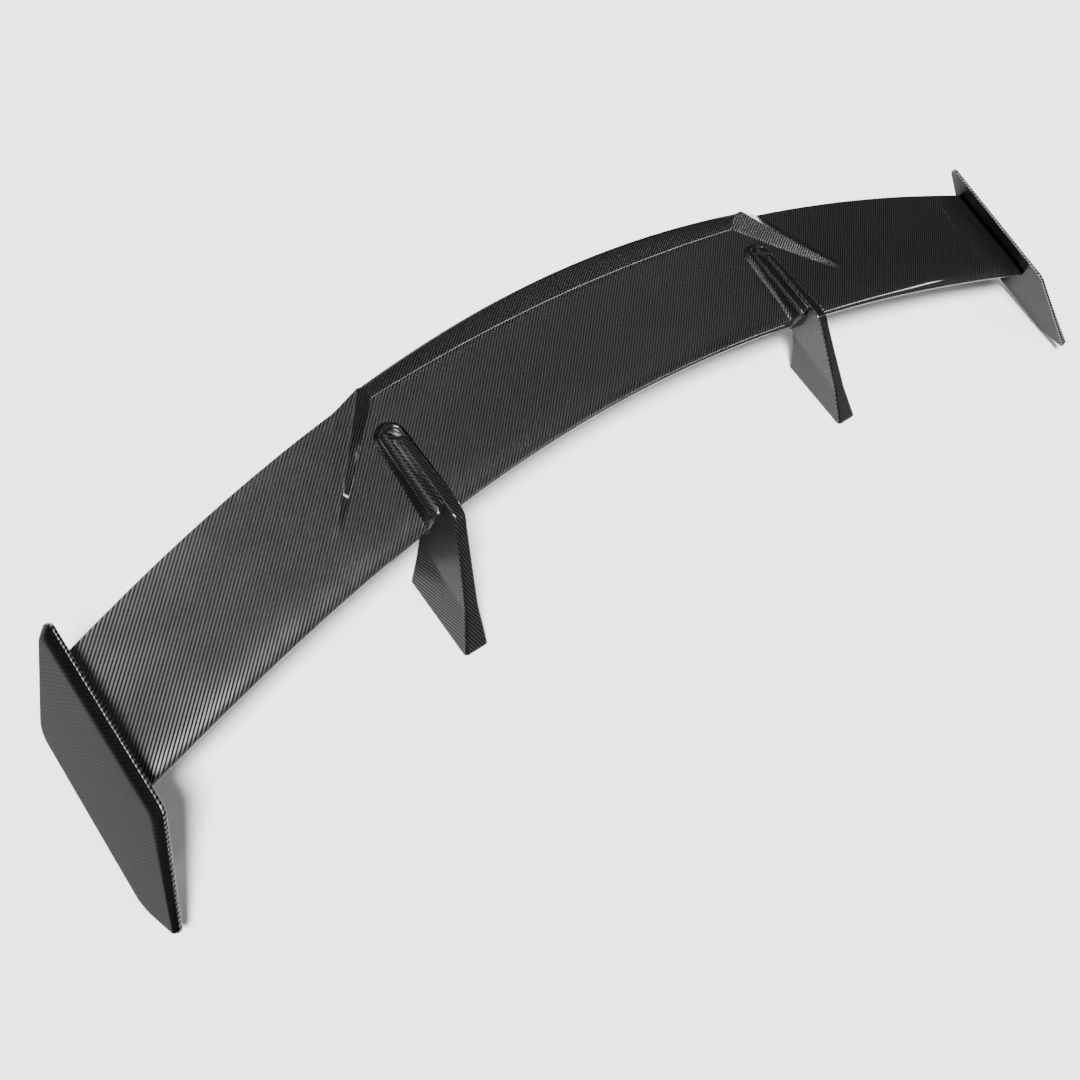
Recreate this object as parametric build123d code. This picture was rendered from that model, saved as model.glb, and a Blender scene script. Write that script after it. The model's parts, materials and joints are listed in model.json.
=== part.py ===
"""Rear wing in moulded carbon laminate on two swan-neck struts, with canted end plates.

Frame: +X to the wing's right tip, +Y to the rear (trailing edge), +Z up. Z = 0 is the boot-lid plane
under the strut gaskets. Millimetres throughout.
"""
from build123d import *
import math
import os

# ---------------------------------------------------------------- driving dimensions
PLAN_HALF = 700.0                     # spanwise station that the planform curves are scaled to
FRAME_Y = 29.0                        # from the centre leading edge back to the frame's origin
FRAME_Z = 84.0                        # height of the centre leading edge above the boot-lid plane

SKIN = 1.8                            # laminate thickness of the wing skins
GLUE = 0.15                           # half of the adhesive film between two bonded faces
THICKNESS_RATIO = 0.10                # greatest section thickness over chord
CAMBER_RATIO = -0.035                 # the section is cambered downwards, for downforce
TE_HALF = 1.2                         # half thickness of the trailing edge
STATIONS = (0.0, 120.0, 240.0, 360.0, 480.0, 600.0)
TIP_STATION = 704.0                   # the last loft station, whose points lie on the end plate
RIB_START = 690.0

FLAP_HALF = 296.0                     # half width of the raised centre flap, at its top edge
FLAP_TOP_Y = 169.1                    # its top edge at the centre, behind the leading edge
FLAP_TOP_Z = 35.2                     # and above it
FLAP_SWEEP = 127.5                    # how far the edge curves forward, per (x / PLAN_HALF) squared
FLAP_DROP = 46.3                      # how far it falls, per (x / PLAN_HALF) squared
FLAP_FOOT = 26.0                      # the flap's width from its crease to the trailing edge
FLAP_LIP = 2.4                        # thickness of its top edge
FIN_BASE_X = 338.0                    # the fin's outer foot on the trailing edge
FIN_TIP = (395.0, 36.0)               # where the fin runs out on the wing, x and y

CANT_TOP_REAR = (690.0, 67.4, 24.4)   # three points of the end plate's inner face
CANT_TOP_FRONT = (690.6, -134.0, 10.4)
CANT_TIP = (723.5, -226.5, -62.4)
PLATE_OUTLINE = ((68.5, 24.5), (2.0, -63.0), (-186.0, -82.0), (-229.0, -62.0), (-134.0, 10.4))
PLATE_RADII = (7.0, 18.0, 34.0, 5.0, 16.0)
PLATE_INNER = 2.2                     # thickness of the end plate's flat inner skin
PLATE_TOTAL = 9.0                     # and of the whole end plate
PLATE_BEVEL = 13.0                    # width of the outer face's bevel
PLATE_WALL = 1.8

STRUT_X_TOP = 293.0                   # strut centre plane at the top of the arm
STRUT_X_FOOT = 318.0                  # and at the foot: the strut leans outwards
ARM_TOP = 30.5
FOOT_Z = -81.0                        # underside of the foot, 3 mm of gasket above the boot lid
CREASE_Z = -43.0                      # above this the leg is slim, below it flares to the foot
BEND_Y = -37.0
FOOT_FRONT_Y = -146.6
FOOT_REAR_Y = -39.8
LEG_REAR_Y = -14.0                    # rear edge of the leg at the crease
NECK_REAR_Y = -4.0                    # rear edge of the leg where it meets the wing's underside
ARM_REAR_TOP_Y = 69.8
ARM_REAR_FOOT_Y = 92.0
HALF_TOP, HALF_CREASE, HALF_FOOT = 6.8, 9.8, 15.6
SHELL = 1.8                           # laminate thickness of the strut shells

SADDLE_HALF = 27.0                    # half width of the saddle on the wing
SADDLE_RIM = 16.0                     # half width of its rim
SADDLE_RIM_Z = 16.5
SADDLE_LIP_Z = -6.0                   # how far the saddle's lip reaches down over the leading edge
SADDLE_FRONT_Y, SADDLE_REAR_Y = -27.0, 99.0

BACKBONE = 3.6                        # half thickness of the aluminium backbone
FOOT_PLATE_TOP = -70.0
BOLT_SPACING = 64.0                   # between the two M6 tapped holes in each foot
BOLT_HOLE_R = 2.5                     # tap-drill radius of an M6 thread
GASKET = 3.0
GASKET_HOLE_R = 3.5
SCREW_Y = (18.0, 58.0)                # M5 screws from the wing's underside into the arm
SCREW_R, SCREW_HOLE_R = 2.5, 2.7
HEAD_R, HEAD_H = 4.6, 2.8
DOWEL_R, DOWEL_LENGTH = 2.0, 8.5
DOWEL_CHORD = (0.24, 0.46)            # where the dowels cross the tip section
CORE_CLEAR = 0.6                      # between the end plate's foam core and its laminates
SPAR_WALL = 1.6
FIT_GAP = 0.3                         # between the skins and what fills the wing
SPAR_CHORD = (0.28, 0.36)
STRINGER_CHORD = (0.70, 0.74)
BLOCK_HALF = 16.0                     # half width of the aluminium block under each strut
RIB_CHORD = (0.05, 0.9)               # chord fractions that the end ribs and the blocks reach between
BLOCK_CHORD = (0.12, 0.68)
BORE_CLEAR = 0.05                     # between a pin or screw and its hole, on the radius
BEYOND = 400.0                        # reach of the boxes that trim parts: outside the wing all round


# ---------------------------------------------------------------- planform and section
def even(x, start, square, fourth):
    """A curve symmetric about the centre plane."""
    t = abs(x) / PLAN_HALF
    return start + square * t**2 + fourth * t**4


def leading(x):
    return Vector(x, even(x, 0.0, -124.5, 13.1), even(x, 0.0, -11.3, -7.7))


def trailing(x):
    return Vector(x, even(x, 168.9, -140.6, 8.9), even(x, 16.3, -15.07, -6.93))


def half_thickness(s, chord):
    root = 0.2969 * math.sqrt(s) - 0.1260 * s - 0.3516 * s**2 + 0.2843 * s**3 - 0.1036 * s**4
    return 5 * THICKNESS_RATIO * chord * root + TE_HALF * s


CANT_NORMAL = (Vector(*CANT_TOP_FRONT) - Vector(*CANT_TOP_REAR)).cross(
    Vector(*CANT_TIP) - Vector(*CANT_TOP_REAR)).normalized()
if CANT_NORMAL.X < 0:
    CANT_NORMAL = CANT_NORMAL * -1.0


def cant_x(y, z):
    """Where the end plate's inner face stands at that y and z, before the frame's shift."""
    rear = Vector(*CANT_TOP_REAR)
    return rear.X - (CANT_NORMAL.Y * (y - rear.Y) + CANT_NORMAL.Z * (z - rear.Z)) / CANT_NORMAL.X


def section_point(x, s, offset, tip=0):
    """Point at chord fraction s, offset above the mean line; tip is -1 or 1 on the canted end face."""
    front, rear = leading(x), trailing(x)
    along = rear - front
    chord = along.length
    up = Vector(0, -along.Z, along.Y) * (1 / chord)
    camber = CAMBER_RATIO * chord * 4 * s * (1 - s)
    p = front + along * s + up * (camber + offset(s, chord))
    if tip:
        p = Vector(tip * (cant_x(p.Y, p.Z) - GLUE), p.Y, p.Z)
    return p + Vector(0, FRAME_Y, FRAME_Z)


def sections():
    """(x, tip flag) of every loft station from the left tip to the right."""
    right = [(x, 0) for x in STATIONS] + [(TIP_STATION, 1)]
    left = [(-x, -flag) for x, flag in reversed(right[1:])]
    return left + right


OUTER_S = (0.0, 0.004, 0.02, 0.06, 0.14, 0.28, 0.45, 0.62, 0.8, 0.92, 1.0)
INNER_S = (0.06, 0.14, 0.28, 0.45, 0.62, 0.8, 0.9)
BOND_FRONT, BOND_REAR = 0.025, 0.95


def skin_face(x, tip, side):
    """Closed section of one skin: side is 1 for the upper and -1 for the lower."""
    def outer(s, chord):
        return side * max(half_thickness(s, chord), GLUE)

    def inner(s, chord):
        return side * max(half_thickness(s, chord) - SKIN, GLUE)

    def bond(s, chord):
        return side * GLUE

    outer_points = [section_point(x, s, outer, tip) for s in OUTER_S]
    inner_points = [section_point(x, BOND_FRONT, bond, tip)]
    inner_points += [section_point(x, s, inner, tip) for s in INNER_S]
    inner_points += [section_point(x, BOND_REAR, bond, tip)]
    bond_rear = section_point(x, 1.0, bond, tip)
    edges = [Edge.make_spline(outer_points),
             Edge.make_line(outer_points[-1], bond_rear),
             Edge.make_line(bond_rear, inner_points[-1]),
             Edge.make_spline(inner_points),
             Edge.make_line(inner_points[0], outer_points[0])]
    return Wire(edges)


def block_wire(x, tip, s_from, s_to, clearance):
    """Section of what fills the wing between two chord fractions, clear of the skins by clearance."""
    def edge(side):
        def offset(s, chord):
            return side * max(half_thickness(s, chord) - SKIN - clearance, GLUE)
        return offset

    steps = [s_from + (s_to - s_from) * i / 4 for i in range(5)]
    upper = [section_point(x, s, edge(1), tip) for s in steps]
    lower = [section_point(x, s, edge(-1), tip) for s in reversed(steps)]
    return Wire([Edge.make_spline(upper), Edge.make_line(upper[-1], lower[0]),
                 Edge.make_spline(lower), Edge.make_line(lower[-1], upper[0])])


def wing_loft(wires):
    return Solid.make_loft(wires, ruled=False)


def envelope(clearance):
    """The whole wing as one solid, grown by clearance: used to cut what is fitted around it."""
    wires = []
    for x, tip in sections():
        def upper(s, chord):
            return half_thickness(s, chord) + clearance

        def lower(s, chord):
            return -half_thickness(s, chord) - clearance

        top = [section_point(x, s, upper, tip) for s in OUTER_S]
        bottom = [section_point(x, s, lower, tip) for s in reversed(OUTER_S)]
        wires.append(Wire([Edge.make_spline(top), Edge.make_line(top[-1], bottom[0]),
                           Edge.make_spline(bottom), Edge.make_line(bottom[-1], top[0])]))
    return wing_loft(wires)


def at(x, y, z):
    """A point given from the centre leading edge, in the part's frame."""
    return Vector(x, y + FRAME_Y, z + FRAME_Z)


def largest(shape):
    return max(shape.solids(), key=lambda solid: solid.volume)


def mirrored(shape):
    return mirror(shape, about=Plane.YZ)


def cylinder(start, direction, radius, length):
    return Solid.make_cylinder(radius, length, Plane(origin=start, z_dir=direction))


def box_between(low, high):
    size = high - low
    return Solid.make_box(size.X, size.Y, size.Z, Plane(origin=low))


# ---------------------------------------------------------------- flap and fins on the upper skin
def flap_edge(x):
    t2 = (x / PLAN_HALF) ** 2
    return Vector(x, FLAP_TOP_Y - FLAP_SWEEP * t2, FLAP_TOP_Z - FLAP_DROP * t2)


def upper_at(x, back_from_edge):
    """A point just inside the upper skin, that far ahead of the trailing edge."""
    chord = (trailing(x) - leading(x)).length
    s = 1.0 - back_from_edge / chord
    return section_point(x, s, lambda u, c: half_thickness(u, c) - 0.5 * SKIN)


def flap_solid():
    """The raised centre flap: a wedge along the trailing edge between the two fins."""
    wires = []
    for i in range(-4, 5):
        x = FLAP_HALF * i / 4
        top = flap_edge(x) + Vector(0, FRAME_Y, FRAME_Z)
        toe = upper_at(x, FLAP_FOOT)
        heel = upper_at(x, 0.6)
        lip = top + Vector(0, -FLAP_LIP, 0)
        middle = (toe + lip) * 0.5 - Vector(0, 0, 2.5)
        wires.append(Wire([Edge.make_spline([toe, middle, lip]), Edge.make_line(lip, top),
                           Edge.make_line(top, heel), Edge.make_line(heel, toe)]))
    return Solid.make_loft(wires, ruled=False)


def fin_solid():
    """The right fin: a ridge from the flap's corner forwards and outwards until it meets the wing."""
    peak = flap_edge(FLAP_HALF + 4.0) + Vector(0, FRAME_Y, FRAME_Z)
    inner = upper_at(FLAP_HALF - 14.0, 1.0)
    outer = upper_at(FIN_BASE_X, 1.0)
    tip_chord = (trailing(FIN_TIP[0]) - leading(FIN_TIP[0])).length
    tip_back = trailing(FIN_TIP[0]).Y - FIN_TIP[1]
    tip = section_point(FIN_TIP[0], 1.0 - tip_back / tip_chord, half_thickness)
    tip = tip - Vector(0, 0, 0.4 * SKIN)
    corners = (inner, outer, peak, tip)
    faces = [Face(Wire.make_polygon([corners[i] for i in three], close=True))
             for three in ((0, 1, 2), (0, 1, 3), (1, 2, 3), (0, 2, 3))]
    return Solid(Shell(faces))


# ---------------------------------------------------------------- wing
def screw_axes():
    """Start and direction of the arm screws on the right side, from under the wing."""
    axes = []
    for y in SCREW_Y:
        x = strut_centre(ARM_TOP - 14.0)
        front, rear = leading(x), trailing(x)
        s = (y - front.Y) / (rear.Y - front.Y)
        low = section_point(x, s, lambda u, c: -half_thickness(u, c))
        axes.append(Vector(x, y + FRAME_Y, low.Z))
    return axes


def make_wing():
    upper = wing_loft([skin_face(x, tip, 1) for x, tip in sections()])
    lower = wing_loft([skin_face(x, tip, -1) for x, tip in sections()])
    body = envelope(GLUE)
    flap = flap_solid() - body
    fin = fin_solid() - body - flap_solid()
    straight = [(x, tip) for x, tip in sections() if tip == 0]
    low, high = SPAR_CHORD
    wall = SPAR_WALL / trailing(0).Y
    spar = wing_loft([block_wire(x, tip, low, high, FIT_GAP) for x, tip in straight])
    hollow = [block_wire(x, tip, low + wall, high - wall, FIT_GAP + SPAR_WALL) for x, tip in straight]
    spar = spar - wing_loft(hollow)
    stringer = wing_loft([block_wire(x, tip, *STRINGER_CHORD, FIT_GAP) for x, tip in straight])
    rib_run = [(STATIONS[-1], 0), (TIP_STATION, 1)]
    fill = wing_loft([block_wire(x, tip, *RIB_CHORD, FIT_GAP) for x, tip in rib_run])
    far = box_between(at(RIB_START, -BEYOND, -BEYOND), at(RIB_START + BEYOND, BEYOND, BEYOND))
    rib = fill & far
    block = wing_loft([block_wire(x, 0, *BLOCK_CHORD, FIT_GAP)
                       for x in (STRUT_X_TOP - BLOCK_HALF, STRUT_X_TOP, STRUT_X_TOP + BLOCK_HALF)])
    for start in screw_axes():
        hole = cylinder(start - Vector(0, 0, 10), Vector(0, 0, 1), SCREW_HOLE_R, 60.0)
        seat = cylinder(start - Vector(0, 0, 10), Vector(0, 0, 1), HEAD_R + 0.3, 10.0 + HEAD_H + 0.4)
        block = block - hole - seat
        lower = lower - seat - mirrored(seat) - hole - mirrored(hole)
        upper = upper - hole - mirrored(hole)
    block_room = BLOCK_HALF + 0.5
    middle_half = STRUT_X_TOP - block_room
    inboard = box_between(at(-middle_half, -BEYOND, -BEYOND), at(middle_half, BEYOND, BEYOND))
    outboard = box_between(at(STRUT_X_TOP + block_room, -BEYOND, -BEYOND), at(PLAN_HALF, BEYOND, BEYOND))
    for start, direction in dowel_axes():
        rib = rib - cylinder(start, direction, DOWEL_R + BORE_CLEAR, DOWEL_LENGTH)
    return {"wing_upper_skin": upper, "wing_lower_skin": lower, "rear_stringer": stringer,
            "centre_flap": largest(flap), "right_fin": largest(fin), "left_fin": mirrored(largest(fin)),
            "centre_spar": spar & inboard,
            "right_spar": spar & outboard, "left_spar": spar & mirrored(outboard),
            "right_end_rib": rib, "left_end_rib": mirrored(rib),
            "right_hardpoint": block, "left_hardpoint": mirrored(block)}


# ---------------------------------------------------------------- end plates
def plate_plane(outward):
    """Sketch plane on the right end plate's inner face, moved outward; x runs rearwards, y up."""
    rear, front = Vector(*CANT_TOP_REAR), Vector(*CANT_TOP_FRONT)
    origin = rear + CANT_NORMAL * outward + Vector(0, FRAME_Y, FRAME_Z)
    return Plane(origin=origin, x_dir=(rear - front).normalized(), z_dir=CANT_NORMAL)


def plate_outline(inset):
    """The end plate's outline in its own plane, with rounded corners, drawn in by inset."""
    flat = plate_plane(0.0)
    corners = []
    for y, z in PLATE_OUTLINE:
        local = flat.to_local_coords(at(cant_x(y, z), y, z))
        corners.append((local.X, local.Y))
    shape = make_face(Polyline(*corners, close=True))
    for (x, y), radius in zip(corners, PLATE_RADII):
        nearest = min(shape.vertices(), key=lambda v: (v.X - x) ** 2 + (v.Y - y) ** 2)
        shape = fillet(nearest, radius)
    if inset:
        shape = offset(shape, amount=-inset, kind=Kind.ARC)
    return shape


def plate_slab(inset_low, inset_high, low, high):
    """A slab of the end plate between two depths, its edge sloping from one inset to the other."""
    bottom = plate_plane(low) * plate_outline(inset_low)
    top = plate_plane(high) * plate_outline(inset_high)
    if inset_low == inset_high:
        return Solid.extrude(bottom.face(), CANT_NORMAL * (high - low))
    return Solid.make_loft([bottom.face().outer_wire(), top.face().outer_wire()], ruled=True)


def make_end_plate():
    """Inner skin, bevelled outer tray and foam core of the right end plate."""
    rim_depth = PLATE_INNER + 2.2
    inner = plate_slab(0.0, 0.0, 0.0, PLATE_INNER)
    tray = plate_slab(0.0, 0.0, PLATE_INNER + GLUE, rim_depth)
    tray = tray + plate_slab(0.0, PLATE_BEVEL, rim_depth, PLATE_TOTAL)
    hollow_to = PLATE_TOTAL - PLATE_WALL
    hollow = plate_slab(7.5, 16.0, PLATE_INNER + GLUE, hollow_to)
    core = plate_slab(7.5 + CORE_CLEAR, 16.0 + CORE_CLEAR, PLATE_INNER + 2 * GLUE, hollow_to - CORE_CLEAR)
    for start, direction in dowel_axes():
        bore = cylinder(start, direction, DOWEL_R + BORE_CLEAR, DOWEL_LENGTH + 0.2)
        inner = inner - bore
        core = core - bore
    return inner, tray - hollow, core


def dowel_axes():
    """Right-hand dowels: start inside the wing's end rib, direction outwards through the inner skin."""
    axes = []
    for s in DOWEL_CHORD:
        p = section_point(TIP_STATION, s, lambda u, c: 0.0, 1)
        axes.append((p - CANT_NORMAL * (DOWEL_LENGTH - 4.0), CANT_NORMAL))
    return axes


# ---------------------------------------------------------------- struts
def strut_centre(z):
    """The strut's centre plane leans outwards from the arm to the foot."""
    return STRUT_X_TOP + (STRUT_X_FOOT - STRUT_X_TOP) * (ARM_TOP - z) / (ARM_TOP - FOOT_Z)


def slice_wire(z, y_front, y_rear, half):
    """Level slice of the strut with a tapered nose and tail."""
    c = strut_centre(z)
    nose = min(half * 0.35, 4.0)
    depth = min(0.25 * (y_rear - y_front), 3.0)
    corners = [(c - half + nose, y_front), (c + half - nose, y_front), (c + half, y_front + depth),
               (c + half, y_rear - depth), (c + half - nose, y_rear), (c - half + nose, y_rear),
               (c - half, y_rear - depth), (c - half, y_front + depth)]
    return Wire.make_polygon([at(x, y, z) for x, y in corners], close=True)


def front_y(z):
    return BEND_Y + (FOOT_FRONT_Y - BEND_Y) * (ARM_TOP - z) / (ARM_TOP - FOOT_Z)


def strut_body(inset):
    """The strut as one solid, drawn in by inset all round: the leg, its flared foot and the arm."""
    rear_at_foot, rear_at_crease, rear_at_neck = FOOT_REAR_Y, LEG_REAR_Y, NECK_REAR_Y
    levels = [(FOOT_Z, rear_at_foot, HALF_FOOT), (CREASE_Z, rear_at_crease, HALF_CREASE),
              (-6.0, rear_at_neck, 8.2), (ARM_TOP - 1.5 * inset, rear_at_neck, HALF_TOP)]
    wires = [slice_wire(z, front_y(z) + 1.4 * inset, rear - inset, half - inset)
             for z, rear, half in levels]
    leg = Solid.make_loft(wires, ruled=True)
    half = HALF_TOP - inset
    top = ARM_TOP - 1.5 * inset - 0.4
    arm_wires = []
    for z, y_rear in ((2.0, ARM_REAR_FOOT_Y + 4.0), (17.0, ARM_REAR_FOOT_Y), (top, ARM_REAR_TOP_Y)):
        c = strut_centre(z)
        corners = [(c - half, -8.0), (c + half, -8.0), (c + half, y_rear - 6.0 - inset),
                   (c, y_rear - inset), (c - half, y_rear - 6.0 - inset)]
        arm_wires.append(Wire.make_polygon([at(x, y, z) for x, y in corners], close=True))
    arm = Solid.make_loft(arm_wires, ruled=True)
    return leg + arm


def half_space(side):
    """A large block on one side of the right strut's leaning centre plane."""
    low, high = strut_centre(-BEYOND), strut_centre(BEYOND)
    reach = BEYOND * side
    corners = [at(low, -BEYOND, -BEYOND), at(high, -BEYOND, BEYOND),
               at(high + reach, -BEYOND, BEYOND), at(low + reach, -BEYOND, -BEYOND)]
    face = Face(Wire.make_polygon(corners, close=True))
    return Solid.extrude(face, Vector(0, 2 * BEYOND, 0))


def saddle_solid():
    """Pedestal on the wing's upper skin: a long oval base, drawn in to a rim around the arm."""
    c = strut_centre(10.0)
    def oval(half, front, rear, z):
        straight_rear = rear - half
        arc = ThreePointArc(at(c + half, straight_rear, z), at(c, rear, z), at(c - half, straight_rear, z))
        return Wire([arc.edge(), Edge.make_line(at(c - half, straight_rear, z), at(c - half, front, z)),
                     Edge.make_line(at(c - half, front, z), at(c + half, front, z)),
                     Edge.make_line(at(c + half, front, z), at(c + half, straight_rear, z))])

    base = oval(SADDLE_HALF + 4.0, SADDLE_FRONT_Y, SADDLE_REAR_Y + 4.0, 0.0)
    tilt = math.degrees(math.atan2(10.0, SADDLE_REAR_Y - SADDLE_FRONT_Y))
    pivot = Axis(at(0, SADDLE_FRONT_Y, 0.0), (1, 0, 0))
    base = base.rotate(pivot, tilt).translate(Vector(0, 0, SADDLE_LIP_Z))
    rim = oval(SADDLE_RIM, SADDLE_FRONT_Y, SADDLE_REAR_Y - 9.0, SADDLE_RIM_Z)
    crown = oval(HALF_TOP + 2.5, SADDLE_FRONT_Y, ARM_REAR_FOOT_Y - 4.0, SADDLE_RIM_Z + 5.0)
    return Solid.make_loft([base, rim], ruled=True) + Solid.make_loft([rim, crown], ruled=True)


def level_slab(z_low, z_high):
    """Everything on the right side between two heights."""
    return box_between(at(0, -BEYOND, z_low), at(2 * BEYOND, BEYOND, z_high))


def make_strut(wing_body):
    """The right strut's pieces."""
    shell = strut_body(0.0) - wing_body - strut_body(SHELL)
    outer = shell & (Pos(BORE_CLEAR, 0, 0) * half_space(1))
    inner = shell & (Pos(-BORE_CLEAR, 0, 0) * half_space(-1))

    foot_plate = strut_body(SHELL + 0.15) & level_slab(FOOT_Z, FOOT_PLATE_TOP)
    spine_room = strut_body(SHELL + 0.3) & level_slab(FOOT_PLATE_TOP + 0.1, ARM_TOP)
    spine_room = spine_room - wing_body
    slab = (Pos(-BACKBONE, 0, 0) * half_space(1)) & (Pos(BACKBONE, 0, 0) * half_space(-1))
    backbone = spine_room & slab
    middle_y = 0.5 * (FOOT_FRONT_Y + FOOT_REAR_Y)
    gasket = Solid.extrude(
        Face(slice_wire(FOOT_Z - GASKET, FOOT_FRONT_Y, FOOT_REAR_Y, HALF_FOOT)), Vector(0, 0, GASKET))
    gasket = Pos(strut_centre(FOOT_Z) - strut_centre(FOOT_Z - GASKET), 0, 0) * gasket
    for step in (-0.5, 0.5):
        y = middle_y + step * BOLT_SPACING
        below = at(STRUT_X_FOOT, y, FOOT_Z - 2 * GASKET)
        depth = FOOT_PLATE_TOP - FOOT_Z + 3 * GASKET
        foot_plate = foot_plate - cylinder(below, Vector(0, 0, 1), BOLT_HOLE_R, depth)
        gasket = gasket - cylinder(below, Vector(0, 0, 1), GASKET_HOLE_R, depth)

    saddle = saddle_solid() - wing_body - strut_body(-0.15)
    screws = []
    for start in screw_axes():
        head = cylinder(start + Vector(0, 0, 0.2), Vector(0, 0, 1), HEAD_R, HEAD_H)
        socket = cylinder(start, Vector(0, 0, 1), 1.5, 1.8)
        top_z = ARM_TOP + FRAME_Z - 9.0
        shank = cylinder(start + Vector(0, 0, HEAD_H), Vector(0, 0, 1), SCREW_R, top_z - start.Z - HEAD_H)
        screws.append(head + shank - socket)
        room = cylinder(start, Vector(0, 0, 1), SCREW_R + BORE_CLEAR, top_z - start.Z + 0.5)
        backbone = backbone - room
        outer = outer - room
        inner = inner - room
        saddle = saddle - room
    return {"strut_outer_shell": outer, "strut_inner_shell": inner, "strut_backbone": backbone,
            "foot_plate": foot_plate, "foot_gasket": gasket, "strut_saddle": saddle,
            "arm_screws": Compound(children=screws)}


def main():
    os.makedirs("parts", exist_ok=True)
    nodes = make_wing()
    inner, tray, core = make_end_plate()
    dowels = Compound(children=[cylinder(p + d * 0.1, d, DOWEL_R, DOWEL_LENGTH - 0.1)
                                for p, d in dowel_axes()])
    right = {"end_plate_inner_skin": inner, "end_plate_outer_tray": tray, "end_plate_core": core,
             "end_plate_dowels": dowels}
    right.update(make_strut(envelope(0.2)))
    for name, shape in right.items():
        nodes["right_" + name] = shape
        nodes["left_" + name] = mirrored(shape)
    for name, shape in nodes.items():
        export_step(shape, f"parts/{name}.step")


main()
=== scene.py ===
import json
import math

import bpy
from mathutils import Matrix, Vector


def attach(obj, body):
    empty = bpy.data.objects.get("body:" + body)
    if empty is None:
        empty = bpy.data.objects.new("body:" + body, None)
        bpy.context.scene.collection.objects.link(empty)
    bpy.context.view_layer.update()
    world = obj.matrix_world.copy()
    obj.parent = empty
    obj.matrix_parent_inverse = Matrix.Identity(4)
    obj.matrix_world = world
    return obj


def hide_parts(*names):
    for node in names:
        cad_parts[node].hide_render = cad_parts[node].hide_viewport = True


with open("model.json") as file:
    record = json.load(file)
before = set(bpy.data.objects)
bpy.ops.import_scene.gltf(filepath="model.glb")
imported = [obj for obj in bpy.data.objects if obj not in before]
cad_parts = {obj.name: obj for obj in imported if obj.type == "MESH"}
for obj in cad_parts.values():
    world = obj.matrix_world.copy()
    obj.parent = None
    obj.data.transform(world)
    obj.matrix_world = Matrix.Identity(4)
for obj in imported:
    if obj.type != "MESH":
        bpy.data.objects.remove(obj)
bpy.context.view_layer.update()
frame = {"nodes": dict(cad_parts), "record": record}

# ---------------------------------------------------------------- driving sizes, in millimetres
# Shapes are worked out from the centre leading edge, as in the CAD; ORIGIN moves them to the row's frame.
MM = 0.001
ORIGIN = Vector((0.0, 29.0, 84.0))
PLAN_HALF = 700.0
THICKNESS_RATIO = 0.10
CAMBER_RATIO = -0.035
TE_HALF = 1.2
EDGE_ROUND = 0.9                # radius of the trailing edge's upper and lower corners
LAST_SQUARE = 600.0             # outside this station the wing stretches to meet the canted end plate
TIP_STATION = 704.0

FLAP_HALF = 303.0
FLAP_DROP, FLAP_TOP_Z = 46.3, 35.2
FLAP_FOOT_CENTRE, FLAP_FOOT_END = 26.0, 14.0    # from its crease to the trailing edge
FLAP_FILLET = 0.3               # share of that width which the crease's fillet takes

FIN_PEAK = Vector((303.0, 142.6))
FIN_TAIL = Vector((413.4, 12.6))
FIN_HEIGHT = 15.2
FIN_OUTER, FIN_INNER = 24.5, 16.5               # widths of its two faces at the peak
FIN_FILLET = 0.16

TIP_REAR = Vector((690.0, 67.4, 24.4))
TIP_FRONT = Vector((690.6, -134.0, 10.4))
TIP_LOW = Vector((723.5, -226.5, -62.4))
# y and z of the end plate's corners: rear top, rear low, front low, nose and front top
PLATE_OUTLINE = ((76.5, 26.5), (4.0, -64.0), (-187.0, -83.0), (-231.0, -66.0), (-138.0, 10.2))
PLATE_RADII = (9.0, 34.0, 60.0, 5.0, 22.0)
PLATE_THICK = 9.6

STRUT_X_TOP, STRUT_X_FOOT = 293.0, 318.0
ARM_TOP, FOOT_Z = 30.5, -80.9
BEND_Y = -36.9                  # where the arm's top edge turns down into the leg's front edge
BEND_ROUND = 8.0                # length of each edge that the bend's curve takes up
TAIL_START_Y, TAIL_START_Z = 69.8, 28.9         # the arm's top edge falls away between these points
TAIL_END_Y, TAIL_END_Z = 90.0, 18.0
FOOT_FRONT_Y, FOOT_REAR_Y = -146.6, -39.8
ARM_EDGE, BEND_EDGE, LEG_EDGE = 2.2, 2.4, 3.2   # radius along the strut's top and front edges

SADDLE_X = 293.5
SADDLE_FRONT_Y = -23.0

TOW = 1.2                       # width of one tow of the twill
STRIP_TURN, FLANK_TURN = -20.0, 28.0            # how far the struts' twill is turned, in degrees
FRONT_STRIP = 26                # faces of a strut's ring that make up its front and rounded front corners


# ---------------------------------------------------------------- small helpers
def smooth_max(a, b, width):
    """The larger of a and b, rounded where they cross."""
    d = max(width - abs(a - b), 0.0) / width
    return max(a, b) + d * d * width * 0.25


def eased(q, soft):
    """q, but leaving zero on a curve, so that a crease becomes a small fillet."""
    if q <= 0:
        return 0.0
    if q < soft:
        return q * q / (2 * soft)
    return q - soft / 2


def ramp(t):
    t = min(max(t, 0.0), 1.0)
    return t * t * (3 - 2 * t)


def mix(a, b, t):
    return a + (b - a) * t


def flip(points):
    return [Vector((-p.x, p.y, p.z)) for p in points]


def new_mesh(name, points, faces, uvs, material):
    """A smooth-shaded object from points in millimetres, faces and one uv pair per face corner."""
    mesh = bpy.data.meshes.new(name)
    mesh.from_pydata([(p + ORIGIN) * MM for p in points], [], faces)
    layer = mesh.uv_layers.new(name="weave")
    for loop, uv in zip(layer.data, uvs):
        loop.uv = uv
    mesh.materials.append(material)
    mesh.validate()
    mesh.shade_smooth()
    piece = bpy.data.objects.new(name, mesh)
    bpy.context.scene.collection.objects.link(piece)
    weighted = piece.modifiers.new("flat faces stay flat", "WEIGHTED_NORMAL")
    weighted.mode = "FACE_AREA"
    weighted.weight = 50
    weighted.keep_sharp = True
    return piece


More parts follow.
